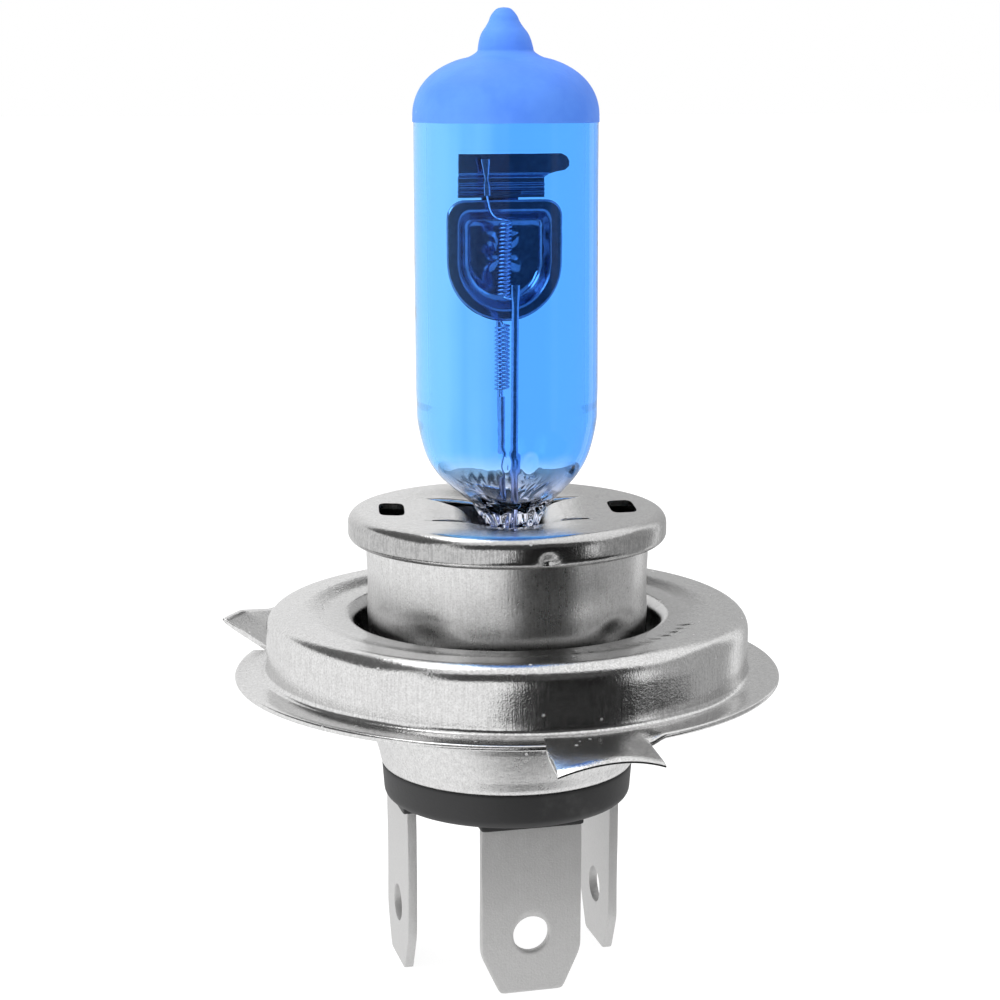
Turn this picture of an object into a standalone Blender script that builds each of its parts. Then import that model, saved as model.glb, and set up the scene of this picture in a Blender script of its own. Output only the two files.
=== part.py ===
"""Twin-filament headlight bulb on a prefocus cap.

The lamp axis is Z. The origin is the centre of the insulator's underside, the
face that the mating connector closes against. The centre terminal and the
front lug face -Y. Dimensions are in millimetres and become metres in the
helpers that build the meshes.
"""

from math import cos, pi, radians, sin, sqrt

import bmesh
import bpy
from mathutils import Matrix, Vector

MM = 0.001

# Heights above the insulator's underside.
FLANGE_PLANE = 10.1
RING_TOP = 15.3
LID_TOP = 23.17
LID_RIM_BOTTOM = 20.8
CUP_EDGE = 3.0
PLUG_TOP = 6.0
PINCH_BOTTOM = 15.0
PINCH_TOP = 25.4
COAT_EDGE = 52.95
DOME_START = 54.2
BLADE_TIP = -14.0

# Radii about the lamp axis.
GLASS_RADIUS = 7.13
SHELL_RADIUS = 11.1
CUP_RADIUS = 10.06
LID_RADIUS = 12.49
COLLAR_RADIUS = 12.1
PILOT_RADIUS = 19.0
FLANGE_RADIUS = 21.5
LUG_RADIUS = 24.4

# Sheet, wall and wire sizes.
GLASS_WALL = 1.05
COAT = 0.1
SKIN_GAP = 0.04
SHEET = 0.45
FIT_GAP = 0.3
PINCH_THICKNESS = 2.8
PINCH_WIDTH = 8.5
POST_RADIUS = 0.35
HIGH_POST_RADIUS = 0.25
LEAD_RADIUS = 0.3
COIL_RADIUS = 0.52
COIL_WIRE = 0.1
COIL_PITCH = 0.37

# The three lead-ins stand in a row along the pinch, front to back.
LEAD_ROW = {"front": -3.0, "middle": 0.0, "rear": 3.0}
FOIL_OFFSET = 0.5
FOIL_SPAN = (16.6, 22.4)

# Terminal blades.
BLADE_WIDTH = 8.0
BLADE_THICKNESS = 0.75
SHANK_WIDTH = 5.2
SHANK_TOP = 8.6
BLADE_HOLE_RADIUS = 1.45
BLADE_HOLE_HEIGHT = -9.3
CHAMFER_START = -10.8
BLADE_END_WIDTH = 5.0
CENTRE_BLADE_Y = -7.3
SIDE_BLADE_X = 8.3
SIDE_BLADE_SHIFT = 1.7
SHOULDER = -1.15

RING_STEPS = 48
SHELL_STEPS = 40
GLASS_STEPS = 28

METALS = {
    "nickel": ((0.62, 0.61, 0.6), 0.28),
    "tin": ((0.66, 0.66, 0.65), 0.38),
    "molybdenum": ((0.36, 0.37, 0.4), 0.35),
    "tungsten": ((0.3, 0.31, 0.34), 0.4),
}


def clear_scene():
    for obj in list(bpy.data.objects):
        bpy.data.objects.remove(obj, do_unlink=True)


def surface(name, colour, roughness, metallic=0.0, transmission=0.0):
    made = bpy.data.materials.new(name)
    made.use_nodes = True
    shader = made.node_tree.nodes["Principled BSDF"]
    shader.inputs["Base Color"].default_value = (*colour, 1.0)
    shader.inputs["Roughness"].default_value = roughness
    shader.inputs["Metallic"].default_value = metallic
    shader.inputs["Transmission Weight"].default_value = transmission
    made.diffuse_color = (*colour, 1.0)
    return made


def metal(kind):
    colour, roughness = METALS[kind]
    return surface(kind, colour, roughness, metallic=1.0)


def put_in_scene(name, mesh, material=None):
    obj = bpy.data.objects.new(name, mesh)
    bpy.context.scene.collection.objects.link(obj)
    if material:
        mesh.materials.append(material)
        mesh.shade_smooth()
        mesh.set_sharp_from_angle(angle=radians(35))
    return obj


def mesh_from(bm, name):
    bmesh.ops.recalc_face_normals(bm, faces=bm.faces[:])
    if bm.calc_volume(signed=True) < 0:
        bmesh.ops.reverse_faces(bm, faces=bm.faces[:])
    mesh = bpy.data.meshes.new(name)
    bm.to_mesh(mesh)
    bm.free()
    return mesh


def arc(centre, radius, start, end, steps):
    """Points in the (r, z) plane on an arc, by angle in degrees."""
    turns = [radians(start + (end - start) * i / steps) for i in range(steps + 1)]
    return [(centre[0] + radius * cos(t), centre[1] + radius * sin(t)) for t in turns]


def turned_mesh(name, profile, steps, closed=True):
    """Spins an (r, z) outline about the lamp axis."""
    bm = bmesh.new()
    points = [bm.verts.new((r * MM, 0.0, z * MM)) for r, z in profile]
    pairs = list(zip(points, points[1:]))
    if closed:
        pairs.append((points[-1], points[0]))
    edges = [bm.edges.new(pair) for pair in pairs]
    bmesh.ops.spin(bm, geom=points + edges, cent=(0, 0, 0), axis=(0, 0, 1), angle=2 * pi,
                   steps=steps, use_merge=True)
    bmesh.ops.remove_doubles(bm, verts=bm.verts[:], dist=1e-7)
    return mesh_from(bm, name)


def turned(name, profile, material, steps, closed=True):
    return put_in_scene(name, turned_mesh(name, profile, steps, closed), material)


def prism_mesh(name, outline, thickness, matrix):
    """Extrudes an (x, y) outline both ways from its plane, then places it."""
    bm = bmesh.new()
    face = bm.faces.new([bm.verts.new((x * MM, y * MM, -thickness * MM / 2)) for x, y in outline])
    grown = bmesh.ops.extrude_face_region(bm, geom=[face])["geom"]
    tops = [item for item in grown if isinstance(item, bmesh.types.BMVert)]
    bmesh.ops.translate(bm, verts=tops, vec=(0, 0, thickness * MM))
    bm.transform(matrix)
    return mesh_from(bm, name)


def prism(name, outline, thickness, matrix, material=None):
    return put_in_scene(name, prism_mesh(name, outline, thickness, matrix), material)


def block(name, low, high, material=None):
    outline = [(low[0], low[1]), (high[0], low[1]), (high[0], high[1]), (low[0], high[1])]
    middle = Matrix.Translation((0, 0, (low[2] + high[2]) / 2 * MM))
    return prism(name, outline, high[2] - low[2], middle, material)


def post_mesh(name, centre, radius, low, high, sides=12):
    bm = bmesh.new()
    bmesh.ops.create_cone(bm, cap_ends=True, segments=sides, radius1=radius * MM, radius2=radius * MM,
                          depth=(high - low) * MM)
    bm.transform(Matrix.Translation((centre[0] * MM, centre[1] * MM, (low + high) / 2 * MM)))
    return mesh_from(bm, name)


def post(name, centre, radius, low, high, material=None, sides=12):
    return put_in_scene(name, post_mesh(name, centre, radius, low, high, sides), material)


def wire(name, points, radius, material, resolution=1):
    """A round wire through the points, in millimetres."""
    curve = bpy.data.curves.new(name, "CURVE")
    curve.dimensions = "3D"
    curve.bevel_depth = radius * MM
    curve.bevel_resolution = resolution
    curve.use_fill_caps = True
    curve.materials.append(material)
    spline = curve.splines.new("POLY")
    spline.points.add(len(points) - 1)
    for point, place in zip(spline.points, points):
        point.co = (*(Vector(place) * MM), 1.0)
    obj = bpy.data.objects.new(name, curve)
    bpy.context.scene.collection.objects.link(obj)
    return obj


def combine(obj, helper, operation):
    helper.hide_render = True
    helper.display_type = "WIRE"
    step = obj.modifiers.new(helper.name, "BOOLEAN")
    step.object = helper
    step.operation = operation
    step.solver = "EXACT"


def cut(obj, helper):
    combine(obj, helper, "DIFFERENCE")


def join(obj, helper):
    combine(obj, helper, "UNION")


def dome_outline(offset):
    """The tube's outer side from its apex down to the coat's edge, moved outward by offset.

    The exhaust tip is a cone that flares into a flattened dome.
    """
    points = [(0.0, 61.35), (0.45, 61.1), (0.85, 60.55), (1.2, 59.9), (1.65, 59.1), (1.95, 58.5)]
    points += [(2.3, 58.05), (3.0, 57.72)]
    points += [(GLASS_RADIUS * sin(t), DOME_START + 3.72 * cos(t))
               for t in [radians(a) for a in (38, 52, 65, 78, 90)]]
    points.append((GLASS_RADIUS, COAT_EDGE))
    moved = []
    for i, (r, z) in enumerate(points):
        before, after = points[max(i - 1, 0)], points[min(i + 1, len(points) - 1)]
        along = Vector((after[0] - before[0], after[1] - before[1])).normalized()
        out = Vector((0.0, 1.0)) if i == 0 else Vector((-along.y, along.x))
        moved.append((r + out.x * offset, z + out.y * offset))
    moved[-1] = (GLASS_RADIUS + offset, COAT_EDGE)
    return moved


def glass_envelope():
    quartz = surface("quartz", (0.35, 0.6, 1.0), 0.02, transmission=1.0)
    outside = dome_outline(0.0)
    outside += [(GLASS_RADIUS, 32.6), (7.0, 31.4), (6.6, 28.15), (5.65, 25.8), (4.3, 24.3), (2.4, 23.4)]
    outside.append((0.0, 23.2))
    envelope = turned("glass_envelope", outside, quartz, GLASS_STEPS, closed=False)
    half = (PINCH_THICKNESS / 2, PINCH_WIDTH / 2)
    join(envelope, block("pinch_block", (-half[0], -half[1], PINCH_BOTTOM), (half[0], half[1], PINCH_TOP)))
    bore = GLASS_RADIUS - GLASS_WALL
    inside = [(0.0, 57.0), (2.6, 56.7)]
    inside += [(bore * sin(t), 53.9 + 3.0 * cos(t)) for t in [radians(a) for a in (48, 62, 76, 90)]]
    inside += [(bore, 32.6), (5.9, 30.6), (5.4, 28.4), (4.5, 26.9), (2.5, 26.0), (0.0, 25.8)]
    cavity = put_in_scene("tube_cavity", turned_mesh("tube_cavity", inside, GLASS_STEPS, closed=False))
    cut(envelope, cavity)
    for place, y in LEAD_ROW.items():
        channel = post(f"lead_channel_{place}", (0, y), POST_RADIUS + 0.15, PINCH_BOTTOM - 1, 27.5)
        cut(envelope, channel)
        slot = block(f"foil_slot_{place}", (0.35, y - 1.05, FOIL_SPAN[0] - 0.2),
                     (FOIL_OFFSET + 0.25, y + 1.05, FOIL_SPAN[1] + 0.2))
        cut(envelope, slot)
    return envelope


def anti_glare_coat():
    paint = surface("blue_paint", (0.13, 0.33, 0.85), 0.45)
    outer = dome_outline(SKIN_GAP + COAT)
    inner = dome_outline(SKIN_GAP)
    turned("anti_glare_coat", outer + inner[::-1], paint, GLASS_STEPS, closed=False)


def dish_outline(half_width, top, bottom, corner):
    """A U-shaped outline: a round bottom, straight sides and rounded top corners."""
    middle = bottom + half_width
    points = [(half_width * cos(t), middle + half_width * sin(t))
              for t in [radians(a) for a in range(180, 361, 15)]]
    points += arc((half_width - corner, top - corner), corner, 0, 90, 3)
    points += arc((-half_width + corner, top - corner), corner, 90, 180, 3)
    return points


def low_beam_shield():
    """A pressed dish with a flat rim, open to the front."""
    rings = [(4.6, 47.1, 37.8, 1.3, 0.35), (3.75, 46.25, 38.65, 0.9, 0.35), (3.45, 45.95, 38.95, 0.8, 1.0),
             (2.6, 45.1, 39.8, 0.6, 1.75)]
    bm = bmesh.new()
    loops = []
    for half_width, top, bottom, corner, depth in rings:
        outline = dish_outline(half_width, top, bottom, corner)
        loops.append([bm.verts.new((x * MM, depth * MM, z * MM)) for x, z in outline])
    for outer, inner in zip(loops, loops[1:]):
        for i in range(len(outer)):
            j = (i + 1) % len(outer)
            bm.faces.new((outer[i], outer[j], inner[j], inner[i]))
    bm.faces.new(loops[-1])
    shield = put_in_scene("low_beam_shield", mesh_from(bm, "low_beam_shield"), metal("molybdenum"))
    sheet = shield.modifiers.new("sheet", "SOLIDIFY")
    sheet.thickness = 0.2 * MM
    sheet.offset = 0
    sheet.use_even_offset = False


def shield_bracket():
    """A strip that carries the dish from behind, with a wide tab and a side flag above it."""
    upright = Matrix.Rotation(pi / 2, 4, "X")
    tab = [(-3.6, 47.3), (3.0, 47.3), (3.3, 48.9), (4.2, 49.2), (5.4, 49.3), (5.4, 50.56), (-3.6, 50.56)]
    bracket = prism("shield_bracket", tab, 0.3, Matrix.Translation((0, 0.9 * MM, 0)) @ upright,
                    metal("molybdenum"))
    join(bracket, block("bracket_bridge", (-1.5, 0.8, 47.6), (1.5, 2.5, 47.9)))
    join(bracket, block("bracket_strip", (-1.5, 2.2, 41.5), (1.5, 2.5, 47.8)))


def coil_points(centre, low, high, start_turn=0.0):
    """A helix of even pitch, eight points to the turn."""
    turns = round((high - low) / COIL_PITCH)
    points = []
    for i in range(turns * 8 + 1):
        t = 2 * pi * (i / 8 + start_turn)
        height = low + (high - low) * i / (turns * 8)
        points.append((centre[0] + COIL_RADIUS * cos(t), centre[1] + COIL_RADIUS * sin(t), height))
    return points


def filaments():
    tungsten = metal("tungsten")
    low_coil = coil_points((0.0, -1.1), 39.9, 45.4, 0.75)
    foot = [(0.0, -2.48, 40.0), (0.0, -2.0, 39.8)]
    head = [(-0.6, -1.2, 45.9), (-1.35, -0.2, 46.9), (-1.6, 0.3, 47.5), (-1.6, 0.3, 49.6)]
    wire("low_beam_filament", foot + low_coil + head, COIL_WIRE, tungsten, resolution=0)
    high_coil = coil_points((-0.3, -0.1), 32.6, 37.3, 0.25)
    top = [(-0.3, 0.75, 37.45), (-0.3, 1.75, 38.2), (-0.3, 2.1, 39.2)]
    bottom = [(-0.3, 0.0, 32.2), (-0.3, 0.35, 32.4)]
    wire("high_beam_filament", bottom + high_coil + top, COIL_WIRE, tungsten, resolution=0)
    clip = prism_mesh("filament_clip", [(-1.95, 47.45), (-1.25, 47.45), (-1.25, 50.2), (-1.95, 50.2)], 0.12,
                      Matrix.Translation((0, 0.08 * MM, 0)) @ Matrix.Rotation(pi / 2, 4, "X"))
    put_in_scene("filament_clip", clip, metal("molybdenum"))


def support_posts():
    molybdenum = metal("molybdenum")
    front, middle, rear = (LEAD_ROW[place] for place in ("front", "middle", "rear"))
    low = FOIL_SPAN[1] - 1.2
    post("low_beam_post", (0, front), POST_RADIUS, low, 40.9, molybdenum)
    post("high_beam_post", (0, middle), HIGH_POST_RADIUS, low, 32.0, molybdenum)
    post("common_post", (0, rear), POST_RADIUS, low, 46.5, molybdenum)


def foils_and_leads():
    molybdenum, nickel = metal("molybdenum"), metal("nickel")
    shank_face = CENTRE_BLADE_Y + BLADE_THICKNESS / 2 + LEAD_RADIUS + 0.1
    side_face = SIDE_BLADE_X - BLADE_THICKNESS / 2 - LEAD_RADIUS - 0.1
    ends = {"front": (0.0, shank_face), "middle": (-side_face, 0.0), "rear": (side_face, 0.0)}
    for place, y in LEAD_ROW.items():
        block(f"foil_{place}", (FOIL_OFFSET - 0.05, y - 0.9, FOIL_SPAN[0]),
              (FOIL_OFFSET + 0.05, y + 0.9, FOIL_SPAN[1]), molybdenum)
        x_end, y_end = ends[place]
        route = [(0, y, FOIL_SPAN[0] + 1.4), (0, y, PINCH_BOTTOM - 0.4), (x_end * 0.12, y, 13.6)]
        route += [(x_end * 0.85, y + (y_end - y) * 0.85, 10.9), (x_end, y_end, 9.9), (x_end, y_end, 6.8)]
        wire(f"lead_{place}", route, LEAD_RADIUS, nickel)


def clamp_lid():
    """A pressed disc: its rim wraps the shell's flare and its centre is slit into tongues."""
    under = LID_TOP - SHEET
    outline = [(0.0, LID_TOP)] + arc((LID_RADIUS - 0.75, LID_TOP - 0.75), 0.75, 90, 0, 4)
    outline += arc((LID_RADIUS - 0.45, LID_RIM_BOTTOM + 0.45), 0.45, 0, -90, 2)
    outline += [(11.55, LID_RIM_BOTTOM), (11.55, LID_RIM_BOTTOM + 0.35), (12.04, LID_RIM_BOTTOM + 0.6)]
    outline += [(12.04, under - 0.35), (11.7, under), (0.0, under)]
    lid = turned("clamp_lid", outline, metal("nickel"), SHELL_STEPS, closed=False)
    cut(lid, block("lid_window", (-5.9, -4.6, under - 1), (5.9, 4.6, LID_TOP + 1)))
    for side, turn in (("left", pi), ("right", 0.0)):
        about = Matrix.Rotation(turn, 4, "Z")
        top, bottom = LID_TOP - 0.04, under + 0.04
        bend = [(6.4, top), (5.9, top), (3.5, LID_TOP - 0.45), (2.2, 20.2), (1.75, 18.6)]
        back = [(x + SHEET * 0.9, z - SHEET * 0.5) for x, z in bend[:1:-1]] + [(5.9, bottom), (6.4, bottom)]
        tongue = prism(f"tongue_{side}", bend + back, 8.6, about @ Matrix.Rotation(pi / 2, 4, "X"))
        join(lid, tongue)
        middle = 9.0 * cos(turn)
        cut(lid, block(f"vent_{side}", (middle - 0.9, -2.3, under - 1), (middle + 0.9, 2.3, LID_TOP + 1)))
    for side, way in (("front", -1), ("rear", 1)):
        low, high = sorted((way * 4.65, way * 5.1))
        join(lid, block(f"stop_{side}", (-1.4, low, 21.0), (1.4, high, LID_TOP - 0.05)))


def cap_shell():
    """A drawn shell: a flare under the lid, a straight barrel and a necked cup for the insulator."""
    outer = [(11.7, 22.3), (11.7, 21.85), (SHELL_RADIUS, 21.4), (SHELL_RADIUS, 7.1), (10.95, 6.4)]
    outer += [(CUP_RADIUS + 0.25, 3.7), (CUP_RADIUS, CUP_EDGE)]
    inner = [(r - SHEET, z) for r, z in outer[:1:-1]]
    inner[-1] = (SHELL_RADIUS - SHEET, 21.7)
    turned("cap_shell", outer + inner + [(11.1, 22.3)], metal("nickel"), SHELL_STEPS)


def ring_outline():
    top = [(11.65, FLANGE_PLANE - 1.4), (COLLAR_RADIUS, RING_TOP - 1.2)]
    top += arc((COLLAR_RADIUS + 0.9, RING_TOP - 0.9), 0.9, 160, 90, 2)
    top += arc((PILOT_RADIUS - 0.9, RING_TOP - 0.9), 0.9, 90, 0, 3)
    top += arc((PILOT_RADIUS + 0.8, FLANGE_PLANE + 1.05), 0.8, 180, 270, 2)
    top.append((FLANGE_RADIUS, FLANGE_PLANE + 0.25))
    under = [(FLANGE_RADIUS, FLANGE_PLANE - 0.2), (PILOT_RADIUS + 0.45, FLANGE_PLANE - 0.2)]
    under += [(PILOT_RADIUS - SHEET, FLANGE_PLANE + 0.7), (PILOT_RADIUS - SHEET, RING_TOP - 1.1)]
    under += [(PILOT_RADIUS - 1.1, RING_TOP - SHEET), (COLLAR_RADIUS + 1.1, RING_TOP - SHEET)]
    under += [(COLLAR_RADIUS + SHEET, RING_TOP - 1.25), (11.65 + SHEET, FLANGE_PLANE - 1.4)]
    return top + under


def lug_outline():
    """A leaf that starts at a straight cut and sweeps along the rim to a point."""
    cut_side = [(-2.35, -20.2), (-2.35, -sqrt(LUG_RADIUS ** 2 - 2.35 ** 2))]
    sweep = [(LUG_RADIUS * sin(t), -LUG_RADIUS * cos(t)) for t in [radians(a) for a in (-2, 2, 6, 9.5, 12.6)]]
    inner = [(4.9, -22.6), (4.6, -20.4)]
    return cut_side + sweep + inner


def prefocus_ring():
    ring = turned("prefocus_ring", ring_outline(), metal("nickel"), RING_STEPS)
    for place, turn in (("front", 0), ("right", 120), ("left", 227)):
        lift = Matrix.Translation((0, 0, FLANGE_PLANE * MM))
        join(ring, prism(f"lug_{place}", lug_outline(), 0.36, Matrix.Rotation(radians(turn), 4, "Z") @ lift))


def blade_outline(shift):
    """The blade sits off its shank by the shift, and the shank stays inside the blade's width."""
    half, end = BLADE_WIDTH / 2, BLADE_END_WIDTH / 2
    shank_right = min(SHANK_WIDTH / 2, shift + half - 0.2)
    shank_left = max(-SHANK_WIDTH / 2, shift - half + 0.2)
    right = [(shift + end, BLADE_TIP), (shift + half, CHAMFER_START), (shift + half, SHOULDER),
             (shank_right, SHOULDER), (shank_right, SHANK_TOP)]
    left = [(shank_left, SHANK_TOP), (shank_left, SHOULDER), (shift - half, SHOULDER),
            (shift - half, CHAMFER_START), (shift - end, BLADE_TIP)]
    return right + left


def terminal_places():
    front = Matrix.Translation((0, CENTRE_BLADE_Y * MM, 0))
    side = Matrix.Translation((SIDE_BLADE_X * MM, 0, 0)) @ Matrix.Rotation(pi / 2, 4, "Z")
    return {"centre": front, "right": side, "left": Matrix.Rotation(pi, 4, "Z") @ side}


def terminals():
    tin = metal("tin")
    upright = Matrix.Rotation(pi / 2, 4, "X")
    shifts = {"centre": 0.0, "right": SIDE_BLADE_SHIFT, "left": -SIDE_BLADE_SHIFT}
    for name, place in terminal_places().items():
        blade = prism(f"terminal_{name}", blade_outline(shifts[name]), BLADE_THICKNESS, place @ upright, tin)
        hole = [(shifts[name] + BLADE_HOLE_RADIUS * cos(t), BLADE_HOLE_HEIGHT + BLADE_HOLE_RADIUS * sin(t))
                for t in [2 * pi * (i + 0.5) / 24 for i in range(24)]]
        cut(blade, prism(f"hole_{name}", hole, 3.0, place @ upright))


def terminal_insulator():
    """A plug in the cup, with a boss and a slot for each terminal."""
    plug = CUP_RADIUS - SHEET - FIT_GAP
    outline = [(0.0, PLUG_TOP), (plug, PLUG_TOP), (plug, CUP_EDGE - FIT_GAP / 2), (10.0, CUP_EDGE - FIT_GAP / 2)]
    outline += [(9.8, 0.7), (9.4, 0.0), (0.0, 0.0)]
    body = turned("terminal_insulator", outline, surface("black_resin", (0.03, 0.03, 0.03), 0.6),
                  SHELL_STEPS, closed=False)
    for name, place in terminal_places().items():
        half = SHANK_WIDTH / 2
        boss = [(-half - 0.55, -0.85), (half + 0.55, -0.85), (half + 0.55, 0.5), (-half - 0.55, 0.5)]
        upright = Matrix.Rotation(pi / 2, 4, "X")
        join(body, prism(f"boss_{name}", boss, 2.1, place @ upright))
        slot = [(-half - 0.2, -2), (half + 0.2, -2), (half + 0.2, PLUG_TOP + 1), (-half - 0.2, PLUG_TOP + 1)]
        cut(body, prism(f"slot_{name}", slot, BLADE_THICKNESS + 0.4, place @ upright))


def build():
    clear_scene()
    glass_envelope()
    anti_glare_coat()
    low_beam_shield()
    shield_bracket()
    filaments()
    support_posts()
    foils_and_leads()
    clamp_lid()
    cap_shell()
    prefocus_ring()
    terminals()
    terminal_insulator()


build()
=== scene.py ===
import bmesh
import bpy
import numpy as np
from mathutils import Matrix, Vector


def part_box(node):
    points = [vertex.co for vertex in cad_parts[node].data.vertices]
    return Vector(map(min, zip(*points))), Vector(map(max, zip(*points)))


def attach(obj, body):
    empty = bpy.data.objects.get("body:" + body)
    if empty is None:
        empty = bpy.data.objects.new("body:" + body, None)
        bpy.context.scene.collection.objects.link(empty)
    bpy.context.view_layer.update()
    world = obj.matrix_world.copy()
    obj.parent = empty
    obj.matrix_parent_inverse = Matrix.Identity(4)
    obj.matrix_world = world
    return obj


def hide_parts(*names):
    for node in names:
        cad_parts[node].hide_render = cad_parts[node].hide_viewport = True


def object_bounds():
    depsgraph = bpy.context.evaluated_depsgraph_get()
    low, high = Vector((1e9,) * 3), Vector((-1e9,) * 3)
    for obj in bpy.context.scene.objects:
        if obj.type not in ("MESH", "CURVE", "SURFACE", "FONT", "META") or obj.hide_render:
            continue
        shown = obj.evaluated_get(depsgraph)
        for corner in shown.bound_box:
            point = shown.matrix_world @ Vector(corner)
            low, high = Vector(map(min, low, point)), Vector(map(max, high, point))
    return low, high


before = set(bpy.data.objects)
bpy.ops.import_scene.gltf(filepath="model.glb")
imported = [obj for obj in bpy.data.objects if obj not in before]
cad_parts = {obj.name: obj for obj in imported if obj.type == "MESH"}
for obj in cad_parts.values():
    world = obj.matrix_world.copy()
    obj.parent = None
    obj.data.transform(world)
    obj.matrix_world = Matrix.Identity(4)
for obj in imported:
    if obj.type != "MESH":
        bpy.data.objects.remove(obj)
cadLow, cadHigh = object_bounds()
mm = 0.001
print("frame loaded:", len(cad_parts), "nodes")


# shapes are worked out in millimetres, on grids of points; addPiece makes them metres
def boxMm(node):
    low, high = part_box(node)
    return np.array(low) / mm, np.array(high) / mm


# rises smoothly from 0 to 1 while x goes from a to b
def ease(x, a, b):
    t = np.clip((x - a) / (b - a), 0, 1)
    return t * t * (3 - 2 * t)


# a round bump of height 1 that falls away over the given width
def bump(distance, width):
    return np.exp(-(distance / width) ** 2)


def unit(v):
    return v / np.linalg.norm(v)


# brings an angle into the turn that runs from -half to half
def wrapTurn(angle, half=np.pi):
    return (angle + half) % (2 * half) - half


# Catmull-Rom curve through the points: each stretch is a cubic whose end slopes join the neighbours
def smoothThrough(points, count):
    p = np.array(points, float)
    p = np.concatenate([[2 * p[0] - p[1]], p, [2 * p[-1] - p[-2]]])
    place = np.linspace(0, len(p) - 3 - 1e-9, count)
    i = place.astype(int)
    t = (place - i)[:, None]
    a, b, c, d = p[i], p[i + 1], p[i + 2], p[i + 3]
    bend, twist = 2 * a - 5 * b + 4 * c - d, 3 * b - a - 3 * c + d
    return 0.5 * (2 * b + (c - a) * t + bend * t ** 2 + twist * t ** 3)


# straight runs joined by arcs that touch both: a corner is cut back by radius * tan(half its turn)
def roundedPath(corners, radii, spacing=0.6, arcStep=0.2):
    p = np.array(corners, float)
    done = [p[0]]
    for i in range(1, len(p) - 1):
        a, b = unit(p[i - 1] - p[i]), unit(p[i + 1] - p[i])
        turn = np.pi - np.arccos(np.clip(a @ b, -1, 1))
        radius = radii[i - 1]
        back = radius * np.tan(turn / 2)
        centre = p[i] + unit(a + b) * radius / np.cos(turn / 2)
        spoke = p[i] + a * back - centre
        side = np.sign(spoke[0] * (-a)[1] - spoke[1] * (-a)[0])
        angles = side * np.linspace(0, turn, max(3, int(turn / arcStep) + 2))
        c, s = np.cos(angles), np.sin(angles)
        swept = centre + np.stack([c * spoke[0] - s * spoke[1], s * spoke[0] + c * spoke[1]], -1)
        done.extend(runTo(done[-1], swept[0], spacing))
        done.extend(swept)
    done.extend(runTo(done[-1], p[-1], spacing))
    done.append(p[-1])
    return np.array(done)


# points between two places, the ends left out
def runTo(start, end, spacing):
    steps = int(np.linalg.norm(end - start) / spacing) + 1
    return [start + (end - start) * k / steps for k in range(1, steps)]


# a sheet's closed cross-section: the path pushed half a thickness to each side, with round ends
def sheetSection(path, thickness):
    along = np.gradient(path, axis=0)
    along /= np.linalg.norm(along, axis=1)[:, None]
    across = np.stack([-along[:, 1], along[:, 0]], -1) * thickness / 2
    turn = np.linspace(0, np.pi, 6)[1:-1, None]
    endCap = path[-1] + across[-1] * np.cos(turn) + along[-1] * np.sin(turn) * thickness / 2
    startCap = path[0] - across[0] * np.cos(turn) - along[0] * np.sin(turn) * thickness / 2
    return np.concatenate([path + across, endCap, (path - across)[::-1], startCap])


# a section of (r, z) turned about the lamp axis: x = r cos a, y = r sin a
def turned(section, angles):
    r, z = section[:, :1], section[:, 1:]
    return np.stack([r * np.cos(angles), r * np.sin(angles), z + 0 * angles], -1)


def fullTurn(count, extra=()):
    angles = np.linspace(-np.pi, np.pi, count, endpoint=False)
    return np.unique(np.concatenate([angles, *extra])) if len(extra) else angles


# a round bar along a 3-D path: each point carries a circle square to the path
def tube(path, radius, sides=12):
    along = np.gradient(path, axis=0)
    along /= np.linalg.norm(along, axis=1)[:, None]
    lead = np.array([0.31, 0.95, 0.03])
    right = np.cross(along, lead)
    right /= np.linalg.norm(right, axis=1)[:, None]
    up = np.cross(right, along)
    a = np.linspace(0, 2 * np.pi, sides, endpoint=False)[None, :, None]
    size = np.broadcast_to(radius, (len(path),))[:, None, None]
    ring = path[:, None] + size * (np.cos(a) * right[:, None] + np.sin(a) * up[:, None])
    ends = [np.repeat(path[k][None, None], sides, axis=1) for k in (0, -1)]
    return np.concatenate([ends[0], ring, ends[1]])


# closes a grid at its first and last rows, each with a row drawn together at the row's middle
def capped(grid):
    ends = [grid[k][None] * 0 + grid[k].mean(axis=0) for k in (0, -1)]
    return np.concatenate([ends[0], grid, ends[1]])


# a block with soft edges: the sphere's cosines raised to a small power
def softBlock(low, high, power=0.14, count=28):
    low, high = np.array(low, float), np.array(high, float)
    u = np.linspace(-np.pi / 2, np.pi / 2, count)[:, None]
    v = np.linspace(-np.pi, np.pi, 2 * count, endpoint=False)[None]
    soft = lambda w: np.sign(w) * np.abs(w) ** power
    unitBox = np.stack([soft(np.cos(u)) * soft(np.cos(v)), soft(np.cos(u)) * soft(np.sin(v)),
                        soft(np.sin(u)) + 0 * v], -1)
    return (low + high) / 2 + unitBox * (high - low) / 2


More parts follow.
